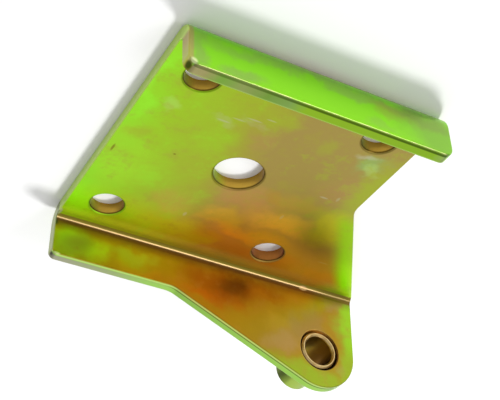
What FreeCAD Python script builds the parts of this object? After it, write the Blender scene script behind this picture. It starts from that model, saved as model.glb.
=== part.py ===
import FreeCAD, Part
import math
import os
import Sketcher

# Leaf spring plate: one steel sheet folded into a channel, and a plain steel bush through its ear.
# Millimetres. The origin is the centre of the middle hole on the underside, which lies on z = 0.
# X runs along the two folds, Y from the ear flange to the plain flange, Z up between the flanges.

doc = FreeCAD.newDocument("leaf_spring_plate")

# Driving dimensions

SIZES = [
    ("sheet_thickness", 4.0, "steel sheet"),
    ("bend_inner_radius", 2.0, "inside of both folds"),
    ("left_reach", 39.0, "middle hole to the left edge"),
    ("right_reach", 39.5, "middle hole to the short right edge"),
    ("ear_side_reach", 47.75, "middle hole to the outer face of the ear flange"),
    ("plain_side_reach", 47.0, "middle hole to the outer face of the plain flange, at the underside"),
    ("plain_flange_height", 16.0, "underside to the free edge, along the flange"),
    ("plain_flange_lean", 3.0, "degrees outwards from upright"),
    ("plain_corner_radius", 3.0, "free corners of the plain flange"),
    ("ear_flange_height", 17.5, "underside to the straight free edge"),
    ("ear_flange_straight", 40.0, "length of the straight free edge"),
    ("ear_flange_corner_radius", 2.0, "free corner of the ear flange"),
    ("ear_rise_radius", 8.0, "blend where the free edge turns up to the ear"),
    ("ear_centre_along", 53.1, "middle hole to the ear's centre, along X"),
    ("ear_centre_height", 26.35, "underside to the ear's centre"),
    ("ear_radius", 13.0, "round end of the ear"),
    ("waist_from_ear_side", 47.8, "outer face of the ear flange to the waist"),
    ("waist_radius", 8.0, "inside corner of the waist"),
    ("flank_gap", 0.1, "inner face of the ear flange to the end of the slanted edge's blend"),
    ("flank_radius", 3.0, "blend from the slanted edge to the flange's end"),
    ("middle_hole_diameter", 14.8, "for the head of the spring's centre bolt"),
    ("bolt_hole_diameter", 10.2, "for the legs of two U-bolts"),
    ("bolt_spacing_along", 55.0, "U-bolt holes, along X"),
    ("bolt_spacing_across", 63.5, "U-bolt holes, along Y"),
    ("outer_edge_radius", 0.6, "rolled edge that the press leaves on the outer faces"),
    ("inner_edge_break", 0.2, "broken edge on the inner faces"),
    ("hole_edge_break", 0.4, "broken mouth of the web's holes"),
    ("bush_outer_diameter", 12.7, "tube through the ear"),
    ("bush_bore_diameter", 10.0, "for the bolt of the shock absorber"),
    ("bush_length", 17.5, "inner face of the ear flange to the bush's far end"),
    ("bush_edge_break", 0.5, "broken edges of the bush"),
    ("bush_fit_gap", 0.05, "between the bush and its hole, on the radius"),
    ("bush_recess_width", 0.75, "countersink round the bush, on the radius"),
    ("bush_recess_depth", 1.5, "countersink round the bush, into the sheet"),
]

sheet = doc.addObject("Spreadsheet::Sheet", "Sizes")
for row, (alias, size, meaning) in enumerate(SIZES, start=1):
    sheet.set(f"A{row}", alias)
    sheet.set(f"B{row}", str(size))
    sheet.set(f"C{row}", meaning)
    sheet.setAlias(f"B{row}", alias)
doc.recompute()


def size(alias):
    """The value of one cell of the sheet, in millimetres or degrees."""
    return float(sheet.get(alias))


# Sketch helpers

def new_sketch(body, name, role):
    """A sketch on one of the body's own origin planes."""
    sketch = body.newObject("Sketcher::SketchObject", name)
    plane = next(item for item in body.Origin.OriginFeatures if item.Role == role)
    sketch.AttachmentSupport = [(plane, "")]
    sketch.MapMode = "FlatFace"
    return sketch


def drive(sketch, name, expression, *constraint):
    """Adds a dimension to the sketch and ties it to the sheet."""
    index = sketch.addConstraint(Sketcher.Constraint(*constraint))
    sketch.renameConstraint(index, name)
    sketch.setExpression(f"Constraints.{name}", expression)


def point(along, up):
    return FreeCAD.Vector(along, up, 0)


def line(sketch, start, end):
    return sketch.addGeometry(Part.LineSegment(point(*start), point(*end)), False)


def arc(sketch, centre, radius, first, last):
    """An anticlockwise arc between two angles in degrees."""
    circle = Part.Circle(point(*centre), FreeCAD.Vector(0, 0, 1), radius)
    return sketch.addGeometry(Part.ArcOfCircle(circle, math.radians(first), math.radians(last)), False)


def circle(sketch, centre, radius):
    return sketch.addGeometry(Part.Circle(point(*centre), FreeCAD.Vector(0, 0, 1), radius), False)


# Which point of a line or an arc a constraint holds, and the sketch's own origin and horizontal axis
START, END, CENTRE = range(1, 4)
ORIGIN = (-START, START)
X_AXIS = ORIGIN[0]


def relate(sketch, kind, *where):
    sketch.addConstraint(Sketcher.Constraint(kind, *where))


def join(sketch, ends, kind="Coincident"):
    """Joins pairs of ends, sharp or tangent."""
    for where in ends:
        relate(sketch, kind, *where)


def level(sketch, upright, flat):
    for item in upright:
        relate(sketch, "Vertical", item)
    for item in flat:
        relate(sketch, "Horizontal", item)


def solid_of(feature):
    doc.recompute()
    return feature.Shape


def cut_through(body, name, sketch):
    """A pocket through everything on the solid's side of the sketch; the volume has to fall."""
    before = body.Tip.Shape.Volume
    pocket = body.newObject("PartDesign::Pocket", name)
    pocket.Profile = sketch
    pocket.Type = "ThroughAll"
    pocket.Reversed = True
    after = solid_of(pocket).Volume
    if after >= before:
        raise RuntimeError(f"{name} removes nothing")
    return pocket


# Folded plate: the channel section, drawn across the folds and padded along them

plate = doc.addObject("PartDesign::Body", "folded_plate")
plate.Label = "folded_plate"

sheet_t = size("sheet_thickness")
inner_r = size("bend_inner_radius")
outer_r = inner_r + sheet_t
lean_degrees = size("plain_flange_lean")
lean = math.radians(lean_degrees)
ear_top = size("ear_centre_height") + size("ear_radius")
ear_face = -size("ear_side_reach")
plain_face = size("plain_side_reach")
plain_height = size("plain_flange_height")

# The plain flange's outer face meets the underside's level at plain_face and leans out from there.
plain_bend_y = plain_face - outer_r * (1 - math.sin(lean)) / math.cos(lean)
ear_bend_y = ear_face + outer_r


def on_plain_flange(up_the_face, inwards):
    """A point of the plain flange's section, from its outer face at the underside's level."""
    return (
        plain_face + up_the_face * math.sin(lean) - inwards * math.cos(lean),
        up_the_face * math.cos(lean) + inwards * math.sin(lean),
    )


def on_bend(centre_y, radius, angle):
    return (
        centre_y + radius * math.cos(math.radians(angle)),
        outer_r + radius * math.sin(math.radians(angle)),
    )


section = new_sketch(plate, "channel_section", "YZ_Plane")
ear_outside = line(section, (ear_face, ear_top), (ear_face, outer_r))
ear_bend_outside = arc(section, (ear_bend_y, outer_r), outer_r, 180, 270)
underside = line(section, (ear_bend_y, 0), (plain_bend_y, 0))
plain_bend_outside = arc(section, (plain_bend_y, outer_r), outer_r, 270, 360 - lean_degrees)
plain_outer_corner = on_plain_flange(plain_height, 0)
plain_inner_corner = on_plain_flange(plain_height, sheet_t)
plain_outside = line(section, on_bend(plain_bend_y, outer_r, -lean_degrees), plain_outer_corner)
plain_free_edge = line(section, plain_outer_corner, plain_inner_corner)
plain_inside = line(section, plain_inner_corner, on_bend(plain_bend_y, inner_r, -lean_degrees))
plain_bend_inside = arc(section, (plain_bend_y, outer_r), inner_r, 270, 360 - lean_degrees)
web_inside = line(section, (plain_bend_y, sheet_t), (ear_bend_y, sheet_t))
ear_bend_inside = arc(section, (ear_bend_y, outer_r), inner_r, 180, 270)
ear_inside = line(section, (ear_face + sheet_t, outer_r), (ear_face + sheet_t, ear_top))
ear_free_edge = line(section, (ear_face + sheet_t, ear_top), (ear_face, ear_top))
plain_foot = section.addGeometry(Part.Point(point(plain_face, 0)), True)

join(section, [
    (ear_outside, END, ear_bend_outside, START),
    (ear_bend_outside, END, underside, START),
    (underside, END, plain_bend_outside, START),
    (plain_bend_outside, END, plain_outside, START),
    (plain_inside, END, plain_bend_inside, END),
    (plain_bend_inside, START, web_inside, START),
    (web_inside, END, ear_bend_inside, END),
    (ear_bend_inside, START, ear_inside, START),
], "Tangent")
join(section, [
    (plain_outside, END, plain_free_edge, START),
    (plain_free_edge, END, plain_inside, START),
    (ear_inside, END, ear_free_edge, START),
    (ear_free_edge, END, ear_outside, START),
])
relate(section, "Perpendicular", plain_outside, plain_free_edge)
relate(section, "Parallel", plain_outside, plain_inside)
level(section, upright=[ear_outside, ear_inside], flat=[ear_free_edge, underside])
relate(section, "Coincident", ear_bend_outside, CENTRE, ear_bend_inside, CENTRE)
relate(section, "Coincident", plain_bend_outside, CENTRE, plain_bend_inside, CENTRE)
relate(section, "PointOnObject", underside, START, X_AXIS)
relate(section, "Equal", ear_bend_inside, plain_bend_inside)
relate(section, "Equal", ear_bend_outside, plain_bend_outside)
relate(section, "PointOnObject", plain_foot, START, X_AXIS)
relate(section, "PointOnObject", plain_foot, START, plain_outside)
drive(section, "bend_inside", "Sizes.bend_inner_radius", "Radius", ear_bend_inside, inner_r)
drive(section, "bend_outside", "Sizes.bend_inner_radius + Sizes.sheet_thickness",
      "Radius", ear_bend_outside, outer_r)
drive(section, "ear_side", "Sizes.ear_side_reach", "DistanceX", ear_bend_outside, START, *ORIGIN, -ear_face)
drive(section, "ear_top", "Sizes.ear_centre_height + Sizes.ear_radius",
      "DistanceY", *ORIGIN, ear_outside, START, ear_top)
drive(section, "plain_side", "Sizes.plain_side_reach", "DistanceX", *ORIGIN, plain_foot, START, plain_face)
drive(section, "plain_height", "Sizes.plain_flange_height",
      "Distance", plain_foot, START, plain_outside, END, plain_height)
drive(section, "plain_slope", "(90 - Sizes.plain_flange_lean) * 1 deg",
      "Angle", X_AXIS, 1, plain_outside, START, math.pi / 2 - lean)

channel = plate.newObject("PartDesign::Pad", "channel")
channel.Profile = section
section.setExpression("AttachmentOffset.Base.z", "-Sizes.left_reach")
channel.setExpression("Length", "Sizes.left_reach + Sizes.ear_centre_along + Sizes.ear_radius")
solid_of(channel)

# Folded plate: the web's right-hand edge, short beside the plain flange and slanted past the waist

right_edge = size("right_reach")
full_edge = size("ear_centre_along") + size("ear_radius")
waist_y = ear_face + size("waist_from_ear_side")
waist_r = size("waist_radius")
flank_r = size("flank_radius")
clear = 2 * sheet_t
plain_clear = plain_face + clear

# The slanted edge leaves the waist's corner and touches the blend's circle.
flank_stop = ear_face + sheet_t + size("flank_gap")
to_flank = (full_edge - flank_r - right_edge, waist_y - flank_stop)
to_flank_length = math.hypot(*to_flank)
flank_angle = math.atan2(to_flank[1], to_flank[0]) - math.asin(flank_r / to_flank_length)
slant_length = math.sqrt(to_flank_length**2 - flank_r**2)
turn = math.pi / 2 - flank_angle
turn_degrees = math.degrees(turn)
waist_run = waist_r * math.tan(turn / 2)


def on_slant(along):
    """A point of the slanted edge's line, measured from the waist."""
    return (right_edge + along * math.cos(flank_angle), waist_y - along * math.sin(flank_angle))


outline = new_sketch(plate, "web_outline", "XY_Plane")
short_edge = line(outline, (right_edge, plain_clear), (right_edge, waist_y + waist_run))
waist = arc(outline, (right_edge + waist_r, waist_y + waist_run), waist_r, 180, 180 + turn_degrees)
slant = line(outline, on_slant(waist_run), on_slant(slant_length))
flank_end = arc(outline, (full_edge - flank_r, flank_stop), flank_r, 0, turn_degrees)
past_flank = line(outline, (full_edge, flank_stop), (full_edge + clear, flank_stop))
past_right = line(outline, (full_edge + clear, flank_stop), (full_edge + clear, plain_clear))
past_plain = line(outline, (full_edge + clear, plain_clear), (right_edge, plain_clear))
waist_corner = outline.addGeometry(Part.Point(point(right_edge, waist_y)), True)

join(outline, [
    (flank_end, START, past_flank, START),
    (past_flank, END, past_right, START),
    (past_right, END, past_plain, START),
    (past_plain, END, short_edge, START),
])
join(outline, [
    (short_edge, END, waist, START),
    (waist, END, slant, START),
    (slant, END, flank_end, END),
], "Tangent")
level(outline, upright=[short_edge, past_right], flat=[past_flank, past_plain])
relate(outline, "Horizontal", flank_end, CENTRE, flank_end, START)
relate(outline, "PointOnObject", waist_corner, START, short_edge)
relate(outline, "PointOnObject", waist_corner, START, slant)
drive(outline, "short_edge", "Sizes.right_reach", "DistanceX", *ORIGIN, short_edge, END, right_edge)
drive(outline, "waist_radius", "Sizes.waist_radius", "Radius", waist, waist_r)
drive(outline, "waist_up", "Sizes.waist_from_ear_side - Sizes.sheet_thickness - Sizes.flank_gap",
      "DistanceY", flank_end, START, waist_corner, START, waist_y - flank_stop)
drive(outline, "flank_down", "Sizes.ear_side_reach - Sizes.sheet_thickness - Sizes.flank_gap",
      "DistanceY", flank_end, START, *ORIGIN, -flank_stop)
drive(outline, "flank_radius", "Sizes.flank_radius", "Radius", flank_end, flank_r)
drive(outline, "full_edge", "Sizes.ear_centre_along + Sizes.ear_radius",
      "DistanceX", *ORIGIN, flank_end, START, full_edge)
drive(outline, "past_right", "2 * Sizes.sheet_thickness",
      "DistanceX", past_flank, START, past_flank, END, clear)
drive(outline, "past_plain", "Sizes.plain_side_reach + 2 * Sizes.sheet_thickness",
      "DistanceY", *ORIGIN, past_plain, END, plain_clear)
cut_through(plate, "right_side", outline)

# Folded plate: the ear flange's free edge, straight at first and then rising to the round ear

left_edge = -size("left_reach")
free_edge_z = size("ear_flange_height")
rise_x = left_edge + size("ear_flange_straight")
rise_r = size("ear_rise_radius")
ear_x = size("ear_centre_along")
ear_z = size("ear_centre_height")
ear_r = size("ear_radius")

to_ear = math.hypot(ear_x - rise_x, ear_z - free_edge_z)
rise_angle = math.atan2(ear_z - free_edge_z, ear_x - rise_x) + math.asin(ear_r / to_ear)
rise_degrees = math.degrees(rise_angle)
rise_run = rise_r * math.tan(rise_angle / 2)
rise_length = math.sqrt(to_ear**2 - ear_r**2)
above = ear_top + clear


def on_rise(along):
    """A point of the rising edge's line, measured from where it leaves the straight edge."""
    return (rise_x + along * math.cos(rise_angle), free_edge_z + along * math.sin(rise_angle))


ear_outline = new_sketch(plate, "ear_outline", "XZ_Plane")
straight = line(ear_outline, (left_edge - clear, free_edge_z), (rise_x - rise_run, free_edge_z))
rise_foot = arc(ear_outline, (rise_x - rise_run, free_edge_z + rise_r), rise_r, 270, 270 + rise_degrees)
rise = line(ear_outline, on_rise(rise_run), on_rise(rise_length))
ear = arc(ear_outline, (ear_x, ear_z), ear_r, 0, 90 + rise_degrees)
past_ear = line(ear_outline, (full_edge, ear_z), (full_edge + clear, ear_z))
past_end = line(ear_outline, (full_edge + clear, ear_z), (full_edge + clear, above))
past_top = line(ear_outline, (full_edge + clear, above), (left_edge - clear, above))
past_left = line(ear_outline, (left_edge - clear, above), (left_edge - clear, free_edge_z))
rise_corner = ear_outline.addGeometry(Part.Point(point(rise_x, free_edge_z)), True)

join(ear_outline, [
    (ear, START, past_ear, START),
    (past_ear, END, past_end, START),
    (past_end, END, past_top, START),
    (past_top, END, past_left, START),
    (past_left, END, straight, START),
])
join(ear_outline, [
    (straight, END, rise_foot, START),
    (rise_foot, END, rise, START),
    (rise, END, ear, END),
], "Tangent")
level(ear_outline, upright=[past_end, past_left], flat=[straight, past_ear, past_top])
relate(ear_outline, "Horizontal", ear, CENTRE, ear, START)
relate(ear_outline, "PointOnObject", rise_corner, START, straight)
relate(ear_outline, "PointOnObject", rise_corner, START, rise)
drive(ear_outline, "free_edge", "Sizes.ear_flange_height",
      "DistanceY", *ORIGIN, straight, START, free_edge_z)
drive(ear_outline, "past_left", "Sizes.left_reach + 2 * Sizes.sheet_thickness",
      "DistanceX", straight, START, *ORIGIN, clear - left_edge)
drive(ear_outline, "straight", "Sizes.ear_flange_straight + 2 * Sizes.sheet_thickness",
      "DistanceX", straight, START, rise_corner, START, rise_x - left_edge + clear)
drive(ear_outline, "rise_radius", "Sizes.ear_rise_radius", "Radius", rise_foot, rise_r)
drive(ear_outline, "ear_along", "Sizes.ear_centre_along", "DistanceX", *ORIGIN, ear, CENTRE, ear_x)
drive(ear_outline, "ear_height", "Sizes.ear_centre_height", "DistanceY", *ORIGIN, ear, CENTRE, ear_z)
drive(ear_outline, "ear_radius", "Sizes.ear_radius", "Radius", ear, ear_r)
drive(ear_outline, "past_end", "2 * Sizes.sheet_thickness",
      "DistanceX", past_ear, START, past_ear, END, clear)
drive(ear_outline, "past_top", "Sizes.ear_radius + 2 * Sizes.sheet_thickness",
      "DistanceY", past_end, START, past_end, END, ear_r + clear)
cut_through(plate, "ear_side", ear_outline)

# Holes: the middle one, four for the U-bolts' legs, and the bush's hole in the ear


def hole_sketch(name, role, across, up, across_from, up_from, radius_from):
    """A sketch of one round hole; a negative place is driven from the other side of the origin."""
    sketch = new_sketch(plate, name, role)
    rim = circle(sketch, (across, up), sheet_t)
    for direction, place, expression in [("DistanceX", across, across_from), ("DistanceY", up, up_from)]:
        if expression is None:
            continue
        ends = (rim, CENTRE, *ORIGIN) if place < 0 else (*ORIGIN, rim, CENTRE)
        drive(sketch, direction.lower(), expression, direction, *ends, abs(place))
    if across_from is None:
        relate(sketch, "Coincident", rim, CENTRE, *ORIGIN)
    drive(sketch, "radius", radius_from, "Radius", rim, sheet_t)
    return sketch


middle = hole_sketch("middle_hole_rim", "XY_Plane", 0, 0, None, None, "Sizes.middle_hole_diameter / 2")
cut_through(plate, "middle_hole", middle)

half_along = size("bolt_spacing_along") / 2
half_across = size("bolt_spacing_across") / 2
first_bolt = hole_sketch("bolt_hole_rim", "XY_Plane", -half_along, -half_across,
                         "Sizes.bolt_spacing_along / 2", "Sizes.bolt_spacing_across / 2",
                         "Sizes.bolt_hole_diameter / 2")
bolt_hole = cut_through(plate, "bolt_hole", first_bolt)
one_hole_volume = bolt_hole.Shape.Volume

four_holes = plate.newObject("PartDesign::MultiTransform", "four_bolt_holes")
four_holes.Originals = [bolt_hole]
rows = []
for name, axis, spacing in [
    ("along", "H_Axis", "bolt_spacing_along"),
    ("across", "V_Axis", "bolt_spacing_across"),
]:
    row_of_two = plate.newObject("PartDesign::LinearPattern", f"bolt_holes_{name}")
    row_of_two.Direction = (first_bolt, [axis])
    row_of_two.Occurrences = 2
    row_of_two.setExpression("Length", f"Sizes.{spacing}")
    rows.append(row_of_two)
four_holes.Transformations = rows
plate.Tip = four_holes
if solid_of(four_holes).Volume >= one_hole_volume:
    raise RuntimeError("the bolt holes were not repeated")

bush_hole = hole_sketch("bush_hole_rim", "XZ_Plane", ear_x, ear_z,
                        "Sizes.ear_centre_along", "Sizes.ear_centre_height",
                        "Sizes.bush_outer_diameter / 2 + Sizes.bush_fit_gap")
cut_through(plate, "bush_hole", bush_hole)

# Folded plate: rounded corners and edges, found on the solid by where they lie

NEAR = 1e-4
SAMPLES = 5


def name_of(shape, edge):
    """The edge's name in the shape, as a fillet or a chamfer takes it."""
    return next(f"Edge{index}" for index, other in enumerate(shape.Edges, start=1) if other.isSame(edge))


def samples(edge):
    """Points spread evenly along an edge, both ends included."""
    first, last = edge.ParameterRange
    return [edge.valueAt(first + (last - first) * step / (SAMPLES - 1)) for step in range(SAMPLES)]


def edges_where(body, test):
    """Names of the edges whose sample points all pass a test."""
    shape = body.Tip.Shape
    return [name_of(shape, edge) for edge in shape.Edges if all(test(spot) for spot in samples(edge))]


def round_edges(body, name, edges, radius_from):
    if not edges:
        raise RuntimeError(f"{name} finds no edge")
    fillet = body.newObject("PartDesign::Fillet", name)
    fillet.Base = (fillet.BaseFeature, edges)
    fillet.setExpression("Radius", radius_from)
    if not solid_of(fillet).isValid():
        raise RuntimeError(f"{name} fails")
    return fillet


def break_edges(body, name, edges, width_from, depth_from=None):
    """A flat break along edges, as wide as it is deep unless a depth is given."""
    if not edges:
        raise RuntimeError(f"{name} finds no edge")
    before = body.Tip.Shape.Volume
    chamfer = body.newObject("PartDesign::Chamfer", name)
    chamfer.Base = (chamfer.BaseFeature, edges)
    chamfer.setExpression("Size", width_from)
    if depth_from:
        chamfer.ChamferType = "Two distances"
        chamfer.setExpression("Size2", depth_from)
    if solid_of(chamfer).Volume >= before or not chamfer.Shape.isValid():
        raise RuntimeError(f"{name} fails")
    return chamfer


def plain_face_gap(spot):
    """Distance inwards from the plain flange's outer face."""
    return (plain_face - spot.y) * math.cos(lean) + spot.z * math.sin(lean)


def plain_face_run(spot):
    """Distance along the plain flange from the underside's level."""
    return (spot.y - plain_face) * math.sin(lean) + spot.z * math.cos(lean)


def depth_from_outside(spot):
    """How deep a point lies under the channel's outer skin, whichever stretch of the section it is on."""
    if spot.y < ear_bend_y and spot.z < outer_r:
        return outer_r - math.hypot(spot.y - ear_bend_y, spot.z - outer_r)
    if spot.z >= outer_r and spot.y < ear_bend_y + sheet_t:
        return spot.y - ear_face
    bend_angle = math.degrees(math.atan2(spot.z - outer_r, spot.y - plain_bend_y))
    if spot.y > plain_bend_y and bend_angle < -lean_degrees:
        return outer_r - math.hypot(spot.y - plain_bend_y, spot.z - outer_r)
    if spot.y > plain_bend_y - sheet_t and spot.z > outer_r / 2:
        return plain_face_gap(spot)
    return spot.z


def on_plain_corner(spot):
    """The two corners of the plain flange's free edge, across the sheet."""
    at_end = min(abs(spot.x - left_edge), abs(spot.x - right_edge)) < NEAR
    return at_end and spot.y > 0 and abs(plain_face_run(spot) - plain_height) < NEAR


def on_ear_flange_corner(spot):
    return abs(spot.x - left_edge) < NEAR and spot.y < 0 and abs(spot.z - free_edge_z) < NEAR


round_edges(plate, "plain_flange_corners", edges_where(plate, on_plain_corner),
            "Sizes.plain_corner_radius")
round_edges(plate, "ear_flange_corner", edges_where(plate, on_ear_flange_corner),
            "Sizes.ear_flange_corner_radius")


def is_fold_line(spots):
    """True for the straight lines along X where a fold's round meets the web or a flange."""
    along_x = all(math.hypot(spot.y - spots[0].y, spot.z - spots[0].z) < NEAR for spot in spots)
    return along_x and spots[0].z < outer_r + NEAR


def outline_edges(body, depth):
    """Edges of the sheet's outline at one depth, without the fold lines and the holes."""
    shape = body.Tip.Shape
    found = []
    for edge in shape.Edges:
        spots = samples(edge)
        if edge.isClosed() or is_fold_line(spots):
            continue
        if all(abs(depth_from_outside(spot) - depth) < NEAR for spot in spots):
            found.append(name_of(shape, edge))
    return found


round_edges(plate, "outer_edges", outline_edges(plate, 0), "Sizes.outer_edge_radius")
break_edges(plate, "inner_edges", outline_edges(plate, sheet_t), "Sizes.inner_edge_break")


def is_rim(edge, depth):
    """True for a round hole's rim on the outer skin (depth 0) or the inner one."""
    return edge.isClosed() and all(abs(depth_from_outside(spot) - depth) < NEAR for spot in samples(edge))


def rims(body, depth, in_web):
    shape = body.Tip.Shape
    return [name_of(shape, edge) for edge in shape.Edges
            if is_rim(edge, depth) and (edge.BoundBox.ZLength < NEAR) == in_web]


break_edges(plate, "hole_mouths", rims(plate, sheet_t, in_web=True), "Sizes.hole_edge_break")
break_edges(plate, "bush_recess", rims(plate, sheet_t, in_web=False),
            "Sizes.bush_recess_width", "Sizes.bush_recess_depth")

# Bush: a plain tube with broken edges, drawn on its own axis and set in the ear

bush = doc.addObject("PartDesign::Body", "shock_bush")
bush.Label = "shock_bush"
bush_end = new_sketch(bush, "bush_end", "XZ_Plane")
for name, radius, expression in [
    ("outside", size("bush_outer_diameter") / 2, "Sizes.bush_outer_diameter / 2"),
    ("bore", size("bush_bore_diameter") / 2, "Sizes.bush_bore_diameter / 2"),
]:
    ring = circle(bush_end, (0, 0), radius)
    relate(bush_end, "Coincident", ring, CENTRE, *ORIGIN)
    drive(bush_end, name, expression, "Radius", ring, radius)
tube = bush.newObject("PartDesign::Pad", "tube")
tube.Profile = bush_end
tube.setExpression("Length", "Sizes.bush_length")
solid_of(tube)
break_edges(bush, "bush_edges",
            [name_of(tube.Shape, edge) for edge in tube.Shape.Edges if edge.isClosed()],
            "Sizes.bush_edge_break")
bush.setExpression("Placement.Base.x", "Sizes.ear_centre_along")
bush.setExpression("Placement.Base.y", "Sizes.sheet_thickness - Sizes.ear_side_reach")
bush.setExpression("Placement.Base.z", "Sizes.ear_centre_height")
doc.recompute()

# Checks and files

for item in doc.Objects:
    if "Invalid" in item.State or "Error" in item.State:
        raise RuntimeError(f"{item.Label} did not build")
os.makedirs("parts", exist_ok=True)
for part in [plate, bush]:
    if part.Shape.isNull() or not part.Shape.isValid() or len(part.Shape.Solids) != 1:
        raise RuntimeError(f"{part.Label} is not one valid solid")
    part.Shape.exportStep(os.path.join("parts", f"{part.Label}.step"))
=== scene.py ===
import math

import bpy
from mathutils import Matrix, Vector

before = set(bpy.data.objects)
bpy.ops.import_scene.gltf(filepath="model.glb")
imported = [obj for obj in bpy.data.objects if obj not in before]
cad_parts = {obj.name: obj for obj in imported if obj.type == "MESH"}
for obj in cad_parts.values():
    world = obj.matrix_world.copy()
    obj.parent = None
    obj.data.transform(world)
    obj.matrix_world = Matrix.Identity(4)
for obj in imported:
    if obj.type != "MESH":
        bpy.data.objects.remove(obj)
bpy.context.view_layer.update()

MM = 0.001


# Shader maths

class Signal:
    """A node's output that takes part in Python sums: each operator adds one Math node."""

    def __init__(self, tree, socket):
        self.tree = tree
        self.socket = socket

    def _math(self, operation, *values):
        return self.tree.add("ShaderNodeMath", {"operation": operation}, dict(enumerate(values))).out()

    def __add__(self, other):
        return self._math("ADD", self, other)

    def __sub__(self, other):
        return self._math("SUBTRACT", self, other)

    def __mul__(self, other):
        return self._math("MULTIPLY", self, other)

    def __truediv__(self, other):
        return self._math("DIVIDE", self, other)

    def __radd__(self, other):
        return self._math("ADD", other, self)

    def __rsub__(self, other):
        return self._math("SUBTRACT", other, self)

    def __rmul__(self, other):
        return self._math("MULTIPLY", other, self)

    def __pow__(self, other):
        return self._math("POWER", self, other)

    def __abs__(self):
        return self._math("ABSOLUTE", self)

    def least(self, other):
        return self._math("MINIMUM", self, other)

    def most(self, other):
        return self._math("MAXIMUM", self, other)

    def ramp(self, low, high):
        """0 at low, 1 at high and a soft S between them; low may be the greater of the two."""
        settings = {"interpolation_type": "SMOOTHSTEP", "clamp": True}
        flipped = high < low
        span = {"From Min": min(low, high), "From Max": max(low, high)}
        made = self.tree.add("ShaderNodeMapRange", settings, {"Value": self, **span}).out()
        return 1 - made if flipped else made


class Made:
    """A node that was added, whose outputs are asked for by name or number."""

    def __init__(self, tree, node):
        self.tree = tree
        self.node = node

    def out(self, which=0):
        return Signal(self.tree, self.node.outputs[which])


class Finish:
    """A material under construction: its nodes and links, and short ways to add the usual kinds of node."""

    def __init__(self, name):
        self.material = bpy.data.materials.new(name)
        self.material.use_nodes = True
        self.nodes = self.material.node_tree.nodes
        self.links = self.material.node_tree.links
        self.nodes.clear()
        self.output = self.add("ShaderNodeOutputMaterial", {}, {})

    def add(self, kind, settings, sockets):
        """Adds a node, makes its settings first, and then fills its sockets with values or links."""
        node = self.nodes.new(kind)
        for name, value in settings.items():
            if name == "stops":
                self._stops(node.color_ramp, value)
            else:
                setattr(node, name, value)
        for which, value in sockets.items():
            if isinstance(value, Signal):
                self.links.new(value.socket, node.inputs[which])
            else:
                node.inputs[which].default_value = value
        return Made(self, node)

    @staticmethod
    def _stops(ramp, stops):
        while len(ramp.elements) > 1:
            ramp.elements.remove(ramp.elements[0])
        for index, (place, colour) in enumerate(stops):
            element = ramp.elements[0] if index == 0 else ramp.elements.new(place)
            element.position = place
            element.color = colour

    def place(self):
        """The object's own coordinates in millimetres, as a vector and as its three numbers."""
        coordinates = self.add("ShaderNodeTexCoord", {}, {}).out("Object")
        vector = self.vector("SCALE", coordinates, {"Scale": 1 / MM})
        parts = self.add("ShaderNodeSeparateXYZ", {}, {0: vector})
        return vector, parts.out("X"), parts.out("Y"), parts.out("Z")

    def vector(self, operation, first, others, which=0):
        return self.add("ShaderNodeVectorMath", {"operation": operation}, {0: first, **others}).out(which)

    def noise(self, vector, scale, detail=3.0, roughness=0.5, distortion=0.0, colour=False):
        sockets = {
            "Vector": vector, "Scale": scale, "Detail": detail,
            "Roughness": roughness, "Distortion": distortion}
        made = self.add("ShaderNodeTexNoise", {"noise_dimensions": "3D"}, sockets)
        return made.out("Color") if colour else made.out(0)

    def mix(self, amount, under, over):
        """Lays one colour over another."""
        return self.add("ShaderNodeMix", {"data_type": "RGBA"}, {0: amount, 6: under, 7: over}).out(2)

    def shade(self, constants, varying):
        shader = self.add("ShaderNodeBsdfPrincipled", {}, {**constants, **varying}).out()
        self.links.new(shader.socket, self.output.node.inputs["Surface"])
        return self.material


def paint(red, green, blue):
    """A colour as a paint chart gives it, 0 to 255 a channel, made linear."""
    def linear(value):
        share = value / 255
        return share / 12.92 if share <= 0.04045 else ((share + 0.055) / 1.055) ** 2.4
    return (linear(red), linear(green), linear(blue), 1.0)


# Camera, in mm and degrees: it looks down over the plain flange, and is held upside down as in the photograph

CAMERA_AT = (-122.63, 229.67, 202.24)
CAMERA_TURN = (-53.999, -0.184, 28.683)
CAMERA_LENS = 81.82
CAMERA_SENSOR = 36.0

camera_data = bpy.data.cameras.new("camera")
camera_data.lens = CAMERA_LENS
camera_data.sensor_width = CAMERA_SENSOR
camera_data.clip_start = 0.01
camera_data.clip_end = 20.0
camera = bpy.data.objects.new("camera", camera_data)
camera.location = Vector(CAMERA_AT) * MM
camera.rotation_euler = [math.radians(angle) for angle in CAMERA_TURN]
bpy.context.scene.collection.objects.link(camera)
bpy.context.scene.camera = camera


# Places on the plate that its finish follows, in mm, as the CAD frame has them

SHEET = 4.0
EAR_FACE = -43.75
EAR_BACK = -47.75
PLAIN_FACE = 47.0
PLAIN_TOP = 16.0
LEFT_END = -39.0
RIGHT_END = 39.5
EAR_END = 66.1
EAR_AT = (53.1, -43.75, 26.35)
RECESS_RADIUS = 7.2
BUSH_RADIUS = 6.35
BORE_RADIUS = 5.0
END_RING_DEPTH = 0.75
FOLD_HIGHLIGHT = (4.7, 4.98)
FOLD_GLINT_AT = (47.5, -43.35, 5.0)
BOLT_ALONG = 27.5
BOLT_ACROSS = 31.75
BOLT_HOLE = 5.1
MIDDLE_HOLE = 7.4
SLANT_FROM = (39.8, -1.0)
SLANT_OUTWARD = (0.857, 0.516)

# Half the depth of a wash and of a mark at right angles to its face, and how far the clouds that move a
# wash's outline reach, in mm

WASH_DEPTH = 40
MARK_DEPTH = 2
PLATE_DRIFT = 16.0
BUSH_DRIFT = 4.0

# The film's gloss: its least roughness, what the grain, the holes' mouths and the ear add, and a faint bump

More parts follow.
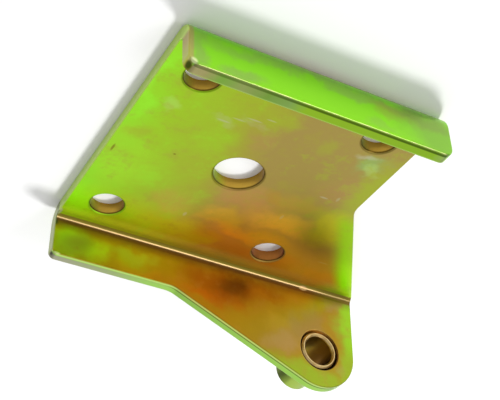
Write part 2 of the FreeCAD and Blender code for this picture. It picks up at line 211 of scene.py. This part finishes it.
FILM_ROUGHNESS = 0.27
GRAIN_ROUGHNESS = 0.08
EDGE_ROUGHNESS = 0.3
EAR_ROUGHNESS = 0.06
BUMP_STRENGTH = 0.05
BUMP_HEIGHT = 0.0002

# Colours of the passivate film, thin and thick, and of the dark and bright lines on it, some of them painted
# shade and painted highlights

LIME = paint(152, 226, 44)
YELLOW_GREEN = paint(160, 202, 40)
OLIVE = paint(165, 180, 48)
STRAW = paint(168, 162, 60)
TAN = paint(168, 147, 76)
MAUVE = paint(178, 142, 84)
GOLD = paint(186, 147, 54)
AMBER = paint(188, 130, 40)
RUST = paint(176, 100, 30)
DARK_OLIVE = paint(120, 104, 24)
PALE_GREEN = paint(186, 222, 116)
PALE_GREY = paint(196, 196, 164)
BRIGHT_LIME = paint(156, 240, 50)
FLANGE_LIME = paint(147, 227, 42)
GREY_GREEN = paint(152, 178, 96)
DARK_BROWN = paint(104, 70, 22)
CREAM = paint(220, 184, 124)
DARK_GREY_GREEN = paint(60, 66, 40)


class PlateFinish(Finish):
    """Yellow zinc: washes of colour laid over each other at places in mm; drift moves their outlines."""

    def __init__(self, name, drift):
        super().__init__(name)
        self.p, self.x, self.y, self.z = self.place()
        cloud = self.noise(self.p, 0.07, detail=4.0, roughness=0.6, colour=True)
        centred = self.vector("SUBTRACT", cloud, {1: (0.5, 0.5, 0.5)})
        shift = self.vector("SCALE", centred, {"Scale": drift})
        self.adrift = self.vector("ADD", self.p, {1: shift})

    def patch(self, where, centre, reach, core):
        """1 within the core share of an ellipsoid and 0 from its surface on."""
        offset = self.vector("SUBTRACT", where, {1: centre})
        away = self.vector("LENGTH", self.vector("DIVIDE", offset, {1: reach}), {}, "Value")
        return away.ramp(1.0, core)

    def wash(self, under, colour, centre, reach, amount):
        """A soft-edged patch of colour about a drifting point."""
        return self.mix(self.patch(self.adrift, centre, reach, 0.25) * amount, under, colour)

    def mark(self, under, colour, centre, reach, amount):
        """A small patch that stays where it is put."""
        return self.mix(self.patch(self.p, centre, reach, 0.4) * amount, under, colour)

    def along(self, value, low, high, stops):
        """A colour that changes along one direction, with its stops given in mm."""
        share = (value - low) / (high - low)
        placed = [((at - low) / (high - low), colour) for at, colour in stops]
        return self.add("ShaderNodeValToRGB", {"stops": placed}, {"Fac": share}).out(0)

    def between(self, value, low, high, soft):
        """1 between two places and 0 outside them."""
        return value.ramp(low - soft, low + soft) * value.ramp(high + soft, high - soft)

    def from_axis(self, across, along, first, second):
        """Distance from an axis, out of two coordinates."""
        return ((across - first) ** 2 + (along - second) ** 2) ** 0.5


# Washes and marks, each with its colour, centre, reach and strength; a later one lies on top

WEB_WASHES = [
    (BRIGHT_LIME, (-38, 26), (4, 18), 0.8),
    (paint(164, 224, 44), (-32, -14), (12, 16), 0.8),
    (OLIVE, (-32, 4), (5, 6), 0.8),
    (YELLOW_GREEN, (-12, 10), (8, 10), 0.6),
    (OLIVE, (-16, -4), (6, 6), 0.5),
    (paint(180, 172, 60), (-12, -20), (9, 8), 0.9),
    (MAUVE, (0, 17), (6, 8), 0.5),
    (MAUVE, (30, 6), (8, 10), 0.6),
    (paint(188, 148, 84), (9, -10), (15, 7), 0.9),
    (paint(206, 170, 78), (21, -16), (14, 8), 0.9),
    (GOLD, (50, -36), (9, 7), 0.5),
    (STRAW, (7, -21), (7, 6), 0.9),
    (GOLD, (16, -5), (6, 4), 0.5),
    (OLIVE, (-2, 27), (9, 4), 0.7),
    (OLIVE, (16, 22), (4, 6), 0.4),
    (OLIVE, (38, 12), (7.5, 22), 0.8),
    (GREY_GREEN, (31, 21), (5, 7), 0.9),
    (STRAW, (32, -6), (8, 6), 0.8),
    (paint(200, 194, 40), (39, -11), (11, 12), 0.9),
    (RUST, (30, -34), (16, 7), 0.25),
    (YELLOW_GREEN, (-24, -33), (10, 6), 0.6),
    (PALE_GREY, (-7, 23.5), (6.5, 2.0), 0.2),
    (PALE_GREY, (-15, 19), (5.5, 2.2), 0.15),
    (PALE_GREEN, (-30, 18), (4.5, 3.5), 0.35),
    (PALE_GREY, (29, 24), (4, 2.4), 0.5),
    (PALE_GREEN, (33, 18), (3, 3), 0.4),
    (paint(172, 190, 38), (-6, -33), (17, 7), 0.75),
    (paint(176, 164, 36), (7, -33), (8, 7), 0.6),
    (paint(200, 176, 56), (4, -23), (10, 5), 0.6),
    (paint(214, 180, 62), (27, -16), (10, 7), 0.6),
    (paint(212, 172, 46), (18, -25), (18, 4), 0.5),
    (paint(214, 178, 62), (5, -19), (10, 5.5), 0.6),
    (paint(192, 160, 62), (24, -5), (11, 6), 0.5),
    (paint(172, 190, 34), (5, -36), (8, 5), 0.6),
    (paint(162, 216, 46), (-37, 0), (9, 12), 0.6),
]

WEB_MARKS = [
    (PALE_GREY, (-15.0, 19.2), (2.6, 0.45), 0.35),
    (PALE_GREY, (-11.5, 21.6), (2.4, 0.4), 0.3),
    (PALE_GREY, (-7.5, 23.4), (3.0, 0.45), 0.35),
    (PALE_GREY, (-3.4, 25.4), (2.0, 0.4), 0.3),
    (PALE_GREY, (27.6, 2.0), (1.8, 0.5), 0.45),
    (PALE_GREY, (31.8, 3.2), (0.6, 1.4), 0.3),
    (PALE_GREY, (-5, -25), (0.7, 1.4), 0.4),
    (PALE_GREY, (21.6, -12.6), (0.6, 1.6), 0.3),
    (PALE_GREY, (46, -28.5), (2.6, 0.5), 0.3),
    (DARK_OLIVE, (-36.8, -5.5), (0.5, 2.2), 0.7),
    (DARK_OLIVE, (-20.3, -0.2), (0.6, 0.5), 0.7),
]

EAR_WASHES = [
    (paint(178, 196, 52), (-31, 13), (11, 9), 0.9),
    (paint(172, 172, 44), (-14, 14), (9, 5), 0.5),
    (STRAW, (-14, 10.5), (13, 3.5), 0.8),
    (AMBER, (-12, 16), (12, 3.0), 0.5),
    (paint(154, 120, 26), (4, 11), (13, 7), 0.6),
    (paint(148, 82, 18), (19, 12.0), (20, 8), 0.8),
    (paint(182, 96, 22), (14, 17.5), (15, 4.5), 0.6),
    (paint(160, 100, 16), (36, 10.5), (9, 4), 0.6),
    (paint(132, 80, 14), (29, 8), (22, 3.5), 0.5),
    (GOLD, (38, 21), (9, 5), 0.5),
    (MAUVE, (39, 27.5), (10, 6), 0.7),
    (paint(164, 132, 76), (45, 20), (7, 8), 0.6),
    (paint(164, 130, 70), (51, 15), (6, 7), 0.6),
    (paint(170, 134, 80), (59, 8), (5, 4.5), 0.8),
    (paint(156, 164, 46), (60.5, 16), (4, 5), 0.6),
    (MAUVE, (62, 31.5), (3.5, 3.5), 0.7),
]

EAR_GREEN = paint(150, 176, 44)

# Painted shade spots and painted highlights at the ear flange's left end
CORNER_SHADE_AND_HIGHLIGHTS = [
    (DARK_GREY_GREEN, (LEFT_END, -45.6, 17.2), (1.2, 1.6, 1.6)),
    (paint(236, 244, 176), (-37.6, EAR_FACE, 17.4), (1.6, 0.6, 0.7)),
    (DARK_GREY_GREEN, (LEFT_END, -43.4, 6.4), (1.4, 1.2, 1.6)),
    (paint(226, 240, 190), (LEFT_END, -41.2, SHEET), (1.2, 2.2, 0.8)),
]

PLAIN_WASHES = [
    (GREY_GREEN, (-25, 14), (9, 4), 0.6),
    (GREY_GREEN, (-37, 10), (4, 9), 0.6),
    (GREY_GREEN, (0, 5), (50, 3.2), 0.5),
    (MAUVE, (26, 6), (16, 3.0), 0.4),
    (MAUVE, (20, 8.5), (6, 3.0), 0.3),
    (paint(134, 180, 72), (35, 9), (16, 14), 0.8),
    (paint(134, 156, 80), (33, 4.5), (12, 4), 0.5),
    (GREY_GREEN, (17, 14), (8, 2.4), 0.3),
]


def plate_finish():
    """Lime, straw and rust on the folded sheet, face by face, with painted shade and highlights at its bends,
    edges, corners and recess.
    """
    f = PlateFinish("yellow_zinc_plate", PLATE_DRIFT)
    drifted = f.add("ShaderNodeSeparateXYZ", {}, {0: f.adrift})
    drift_x = drifted.out("X")
    drift_z = drifted.out("Z")

    # Faces that the photograph doesn't show: the same film, in broad clouds
    film = f.noise(f.p, 0.03, detail=3.0, distortion=0.6)
    clouds = [(0.30, LIME), (0.42, YELLOW_GREEN), (0.50, OLIVE), (0.57, STRAW), (0.66, TAN), (0.76, GOLD)]
    colour = f.add("ShaderNodeValToRGB", {"stops": clouds}, {"Fac": film}).out(0)

    # Web: lime at the left end, straw and tan towards the right
    web = f.along(drift_x, LEFT_END, RIGHT_END, [
        (-39, LIME), (-28, YELLOW_GREEN), (-10, OLIVE), (-3, STRAW), (5, TAN), (30, TAN)])
    for paint_colour, (x, y), (reach_x, reach_y), amount in WEB_WASHES:
        web = f.wash(web, paint_colour, (x, y, SHEET), (reach_x, reach_y, WASH_DEPTH), amount)
    inside = (SLANT_FROM[0] - f.x) * SLANT_OUTWARD[0] + (SLANT_FROM[1] - f.y) * SLANT_OUTWARD[1]
    slant = inside.ramp(7.0, 1.5) * f.y.ramp(0.0, -8.0)
    web = f.mix(slant, web, paint(158, 204, 18))

    # Web by the ear flange's fold: painted lighter, to make up for the reflection that each of the two faces
    # shows of the other
    fold_strip = f.along(drift_x, LEFT_END, EAR_END, [
        (-39, paint(186, 240, 16)), (-16, paint(190, 194, 14)), (8, paint(174, 146, 12)),
        (50, paint(180, 132, 12)), (57, paint(150, 190, 16))])
    by_fold = f.y.ramp(-36.5, -41.0)
    web = f.mix(by_fold * 0.8, web, fold_strip)
    # Painted light: the web is brightened towards the ear flange, where it reflects that flange
    web = f.vector("SCALE", web, {"Scale": 1 + 0.3 * f.y.ramp(-20.0, -32.0)})

    # Mottling and small marks all over the web
    mottle = f.noise(f.p, 0.13, detail=5.0, roughness=0.7)
    web = f.mix(mottle.ramp(0.5, 0.7) * 0.4, web, STRAW)
    web = f.mix(mottle.ramp(0.5, 0.3) * drift_x.ramp(6.0, -12.0) * 0.3, web, LIME)
    web = f.mix(mottle.ramp(0.48, 0.34) * drift_x.ramp(-4.0, 8.0) * f.y.ramp(-24.0, -14.0) * 0.4, web, OLIVE)
    for paint_colour, (x, y), (reach_x, reach_y), amount in WEB_MARKS:
        web = f.mark(web, paint_colour, (x, y, SHEET), (reach_x, reach_y, MARK_DEPTH), amount)
    on_web = f.z.ramp(1.0, 3.0) * f.z.ramp(8.0, 6.0) * f.y.ramp(EAR_FACE - 0.3, EAR_FACE + 0.3)
    colour = f.mix(on_web, colour, web)

    # Hole walls: green on each hole's left and tan on its right, with a painted shade line round the mouth
    bolt = f.from_axis(abs(f.x), abs(f.y), BOLT_ALONG, BOLT_ACROSS) - BOLT_HOLE
    middle = f.from_axis(f.x, f.y, 0.0, 0.0) - MIDDLE_HOLE
    hole = bolt.least(middle)
    in_hole = f.x - BOLT_ALONG * (f.x.ramp(14.0, 16.0) - f.x.ramp(-14.0, -16.0))
    wall = f.mix(in_hole.ramp(-5.0, 1.0), paint(164, 186, 36), paint(190, 154, 62))
    wall = f.mix(f.x.ramp(10.0, 20.0) * f.y.ramp(-20.0, -30.0), wall, paint(186, 124, 60))
    colour = f.mix(hole.ramp(0.15, 0.05), colour, wall)
    # Painted shade: a dark line round each hole's mouth
    mouth_shade_line = f.between(hole, -0.2, 0.12, 0.05) * f.z.ramp(3.1, 3.5)
    colour = f.mix(mouth_shade_line * 0.85, colour, paint(84, 66, 18))

    # Ear flange's inner face: amber, rusty in the middle and green at its free edges, with painted shade in
    # dark brown just above the bend
    ear = paint(168, 131, 36)
    for paint_colour, (x, z), (reach_x, reach_z), amount in EAR_WASHES:
        ear = f.wash(ear, paint_colour, (x, EAR_FACE, z), (reach_x, WASH_DEPTH, reach_z), amount)
    above_ring = (drift_z - 32.5) + (drift_x - 30.0) * -0.04
    beside_ring = (drift_x - 60.0) + (22.0 - drift_z).most(0.0) * -0.1
    green = above_ring.ramp(-3.0, 4.0) * drift_x.ramp(24.0, 32.0)
    ear = f.mix(green.most(beside_ring.ramp(-2.5, 3.5)) * 0.9, ear, EAR_GREEN)
    ear = f.mix(drift_x.ramp(60.5, 64.5) * f.z.ramp(30.0, 20.0) * 0.7, ear, paint(150, 206, 40))
    speckle = f.noise(f.p, 0.22, detail=4.0, roughness=0.65)
    ear = f.mix(speckle.ramp(0.5, 0.75) * 0.3, ear, paint(178, 128, 60))
    # Painted shade: dark brown above the bend, strongest at the left end
    bend_shade = f.z.ramp(9.5, 5.5) * (0.8 - (f.x - LEFT_END) * 0.003)
    ear = f.mix(bend_shade, ear, DARK_BROWN)
    on_ear = f.between(f.y, EAR_FACE - 0.15, EAR_FACE + 0.2, 0.1) * f.z.ramp(4.8, 5.2)
    colour = f.mix(on_ear, colour, ear)

    # Bend below it: a thin cream line of painted highlight along it, painted shade in brown above the line
    # and olive below it, darker olive at the right end, and one pale blob of painted highlight
    in_bend = f.y.ramp(-42.0, -42.6) * f.z.ramp(6.6, 6.0) * on_web.most(on_ear)
    line_from, line_to = FOLD_HIGHLIGHT
    # Painted highlight and shade across the bend: olive below, a cream line, brown above
    bend = f.mix(f.z.ramp(line_from - 0.06, line_from + 0.06), paint(150, 132, 32), CREAM)
    bend = f.mix(f.z.ramp(line_to - 0.06, line_to + 0.06), bend, paint(116, 78, 26))
    bend = f.mix(f.x.ramp(50.0, 58.0) * 0.6, bend, DARK_OLIVE)
    colour = f.mix(in_bend, colour, bend)
    # Painted highlight: a pale blob on the fold's line
    blob = f.patch(f.p, FOLD_GLINT_AT, (1.8, 1.3, 0.85), 0.6)
    colour = f.mix(blob * 0.9, colour, paint(214, 176, 118))

    # Ear flange's rim: pale green, greyer at the left, with a painted shade line beside the inner edge
    outer = f.along(drift_x, LEFT_END, EAR_END, [
        (-39, paint(164, 160, 140)), (-20, paint(160, 178, 118)), (-6, paint(158, 208, 92)),
        (60, paint(164, 212, 90))])
    inner = f.along(drift_x, LEFT_END, EAR_END, [
        (-39, PALE_GREEN), (0, PALE_GREEN), (8, paint(216, 222, 116)), (60, PALE_GREEN)])
    rim = f.mix(f.y.ramp(-45.2, -44.9), outer, inner)
    # Painted shade: a dark line beside the rim's inner edge, faint at the left end
    rim_shade_line = f.between(f.y, -45.2, -44.7, 0.1) * (0.25 + 0.55 * f.x.ramp(-2.0, 3.0))
    rim = f.mix(rim_shade_line, rim, paint(70, 104, 24))
    on_rim = f.between(f.y, EAR_BACK + 0.1, EAR_FACE - 0.25, 0.1) * f.z.ramp(6.0, 8.0)
    colour = f.mix(on_rim, colour, rim)

    # Recess round the bush: tan, with painted shade turning it dark brown towards the end of the ear
    ring = f.from_axis(f.x, f.z, EAR_AT[0], EAR_AT[2])
    in_ear = f.between(f.y, EAR_BACK + 0.5, EAR_FACE + 0.5, 0.1)
    in_recess = ring.ramp(RECESS_RADIUS + 0.1, RECESS_RADIUS) * in_ear
    # Painted shade: the recess darkens towards the end of the ear
    towards_end = (f.x - EAR_AT[0]) * 0.9 + (f.z - EAR_AT[2]) * 0.45
    recess = f.mix(towards_end.ramp(-5.0, 4.0), paint(204, 164, 88), paint(112, 84, 40))
    colour = f.mix(in_recess, colour, recess)

    # Left end of the ear flange: painted shade as a dark spot at its corner and one by the bend, with a
    # painted highlight beside each
    for paint_colour, centre, reach in CORNER_SHADE_AND_HIGHLIGHTS:
        colour = f.mark(colour, paint_colour, centre, reach, 0.9)

    # Plain flange's outer face: lime, with grey-green and mauve patches, and tan along its left end
    plain = FLANGE_LIME
    for paint_colour, (x, z), (reach_x, reach_z), amount in PLAIN_WASHES:
        plain = f.wash(plain, paint_colour, (x, PLAIN_FACE, z), (reach_x, WASH_DEPTH, reach_z), amount)
    plain = f.mix(f.x.ramp(LEFT_END + 1.7, LEFT_END + 0.9) * 0.8, plain, paint(186, 166, 104))
    on_plain = f.y.ramp(PLAIN_FACE - 1.0, PLAIN_FACE - 0.4)
    colour = f.mix(on_plain, colour, plain)

    # Plain flange's free edge: green, with a painted shade line along it, a painted highlight on its outer
    # edge and a pale inner one
    top = f.along(drift_x, LEFT_END, RIGHT_END, [
        (-39, paint(178, 166, 120)), (-34, paint(162, 156, 100)), (-30, paint(124, 168, 66)),
        (-23, paint(146, 160, 90)), (-17, paint(118, 156, 62)), (-11, paint(130, 164, 84)),
        (-6, paint(142, 184, 40)), (36, paint(138, 180, 40)), (39, GREY_GREEN)])
    # Painted shade: a dark line along the free edge
    top_shade_line = f.between(f.y, 46.5, 47.3, 0.12) * (0.55 + 0.3 * f.x.ramp(-25.0, 0.0))
    top = f.mix(top_shade_line, top, paint(60, 82, 6))
    # Painted highlight on the outer edge, varied by a noise
    glint = f.noise(f.p, 0.3, detail=2.0).ramp(0.45, 0.6)
    top = f.mix(f.y.ramp(47.35, 47.5), top, f.mix(glint, paint(160, 192, 92), paint(182, 190, 120)))
    top = f.mix(f.y.ramp(44.5, 44.0) * 0.6, top, PALE_GREEN)
    on_top = f.z.ramp(PLAIN_TOP - 0.35, PLAIN_TOP - 0.15) * f.y.ramp(40.0, 41.0)
    colour = f.mix(on_top, colour, top)

    # Its left corner: a dark spot of painted shade at the end
    colour = f.mark(colour, paint(64, 84, 20), (-38.2, 45.6, 15.2), (1.3, 1.9, 1.3), 0.9)

    # Edges at the left end: pale green on the web, duller on both flanges
    flange_end = f.mix(f.z.ramp(7.0, 13.0), paint(172, 156, 92), paint(168, 174, 74))
    end = f.mix(f.z.ramp(4.0, 6.0) * f.y.ramp(0.0, 10.0), paint(202, 230, 114), flange_end)
    end = f.mix(f.y.ramp(-40.5, -42.0), end, paint(146, 156, 100))
    colour = f.mix(f.x.ramp(LEFT_END + 0.3, LEFT_END + 0.1), colour, end)

    # A painted highlight beside the plain flange's left corner
    colour = f.mark(colour, paint(236, 246, 180), (-37.7, 47.7, 15.3), (1.4, 0.8, 1.4), 0.9)

    # Gloss: rougher on the ear and at the mouths of the holes, and half metallic by the fold
    grain = f.noise(f.p, 0.9, detail=3.0)
    on_break = f.between(hole, 0.12, 0.6, 0.04) * f.z.ramp(3.3, 3.5) * f.z.ramp(4.3, 4.1)
    roughness = FILM_ROUGHNESS + grain * GRAIN_ROUGHNESS + on_break * EDGE_ROUGHNESS + on_ear * EAR_ROUGHNESS
    metallic = 1 - by_fold * on_web * 0.5
    sockets = {"Strength": BUMP_STRENGTH, "Distance": BUMP_HEIGHT, "Height": f.noise(f.p, 0.8)}
    bump = f.add("ShaderNodeBump", {}, sockets).out()
    return f.shade({}, {"Base Color": colour, "Metallic": metallic, "Roughness": roughness, "Normal": bump})


def bush_finish():
    """Brassy film on the tube: tan on its end ring, olive in the bore and green outside, both with painted
    shade on one side.
    """
    f = PlateFinish("yellow_zinc_bush", BUSH_DRIFT)
    radius = f.from_axis(f.x, f.z, EAR_AT[0], EAR_AT[2])
    drift_x = f.add("ShaderNodeSeparateXYZ", {}, {0: f.adrift}).out("X")
    ring = f.mix(f.noise(f.p, 0.5).ramp(0.4, 0.6), paint(198, 166, 108), paint(212, 184, 126))
    # Painted shade: the bore turns dark brown towards the ear's end
    bore = f.mix(drift_x.ramp(49.0, 57.0), paint(186, 172, 40), paint(112, 76, 12))
    behind = EAR_FACE - END_RING_DEPTH
    in_bore = radius.ramp(BORE_RADIUS + 0.3, BORE_RADIUS + 0.15) * f.y.ramp(behind, behind - 0.4)
    colour = f.mix(in_bore, ring, bore)
    # Painted shade: the outside is darker on the side away from the ear's end
    outside = f.mix(drift_x.ramp(47.5, 50.5), paint(96, 112, 52), paint(168, 196, 84))
    on_outside = radius.ramp(BUSH_RADIUS - 0.2, BUSH_RADIUS - 0.05) * f.y.ramp(behind, behind - 0.5)
    colour = f.mix(on_outside, colour, outside)
    roughness = FILM_ROUGHNESS + f.noise(f.p, 0.9) * GRAIN_ROUGHNESS
    return f.shade({"Metallic": 1.0}, {"Base Color": colour, "Roughness": roughness})


WELD_DISTANCE = 0.01 * MM
SHARP_ANGLE = math.radians(30)


def smooth(node):
    """Welds a CAD node's loose triangles for shading only: rounds look round and flat faces stay flat."""
    node.data.shade_smooth()
    weld = node.modifiers.new("weld", "WELD")
    weld.merge_threshold = WELD_DISTANCE
    split = node.modifiers.new("split", "EDGE_SPLIT")
    split.split_angle = SHARP_ANGLE
    even = node.modifiers.new("even", "WEIGHTED_NORMAL")
    even.mode = "FACE_AREA"
    even.weight = 50


FINISHES = {"folded_plate": plate_finish, "shock_bush": bush_finish}
for name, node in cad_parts.items():
    node.data.materials.clear()
    node.data.materials.append(FINISHES[name]())
    smooth(node)


# Studio: a key lamp overhead on the ear's side that no surface mirrors, a broad soft box on that side, and a
# compact one on the camera's side

def lamp(name, towards, away, size, brightness):
    """A round soft lamp facing the plate, in metres; a mirror shows it at this brightness, 1 being white."""
    at = Vector(towards).normalized() * away
    data = bpy.data.lights.new(name, "AREA")
    data.shape = "DISK"
    data.size = size
    data.energy = brightness * math.pi * math.pi * (size / 2) ** 2
    light = bpy.data.objects.new(name, data)
    light.location = at
    light.rotation_euler = (-at).to_track_quat("-Z", "Y").to_euler()
    bpy.context.scene.collection.objects.link(light)
    return light


key = lamp("key", towards=(0.49, -0.29, 0.82), away=1.0, size=0.24, brightness=40.0)
key.visible_glossy = False
lamp("far_box", towards=(0.39, -0.70, 0.60), away=1.0, size=1.2, brightness=0.45)
lamp("near_box", towards=(0.39, 0.71, 0.56), away=0.9, size=0.40, brightness=4.0)

WORLD_BRIGHTNESS = 0.55
WHITE = (1.0, 1.0, 1.0, 1.0)

world = bpy.data.worlds.new("studio")
world.use_nodes = True
background = world.node_tree.nodes["Background"]
background.inputs["Color"].default_value = WHITE
background.inputs["Strength"].default_value = WORLD_BRIGHTNESS
bpy.context.scene.world = world

# Floor: a large pale sheet of card, a hair below the underside

FLOOR_REACH = 3.0
FLOOR_DROP = 0.00003
FLOOR_COLOUR = (0.92, 0.92, 0.92, 1.0)

floor_mesh = bpy.data.meshes.new("floor")
around = [(-1, -1), (1, -1), (1, 1), (-1, 1)]
corners = [(x * FLOOR_REACH, y * FLOOR_REACH, -FLOOR_DROP) for x, y in around]
floor_mesh.from_pydata(corners, [], [(0, 1, 2, 3)])
floor = bpy.data.objects.new("floor", floor_mesh)
bpy.context.scene.collection.objects.link(floor)
matt = {"Base Color": FLOOR_COLOUR, "Roughness": 0.9, "Specular IOR Level": 0.0}
floor_mesh.materials.append(Finish("pale_floor").shade(matt, {}))

bpy.context.scene.view_settings.view_transform = "Standard"
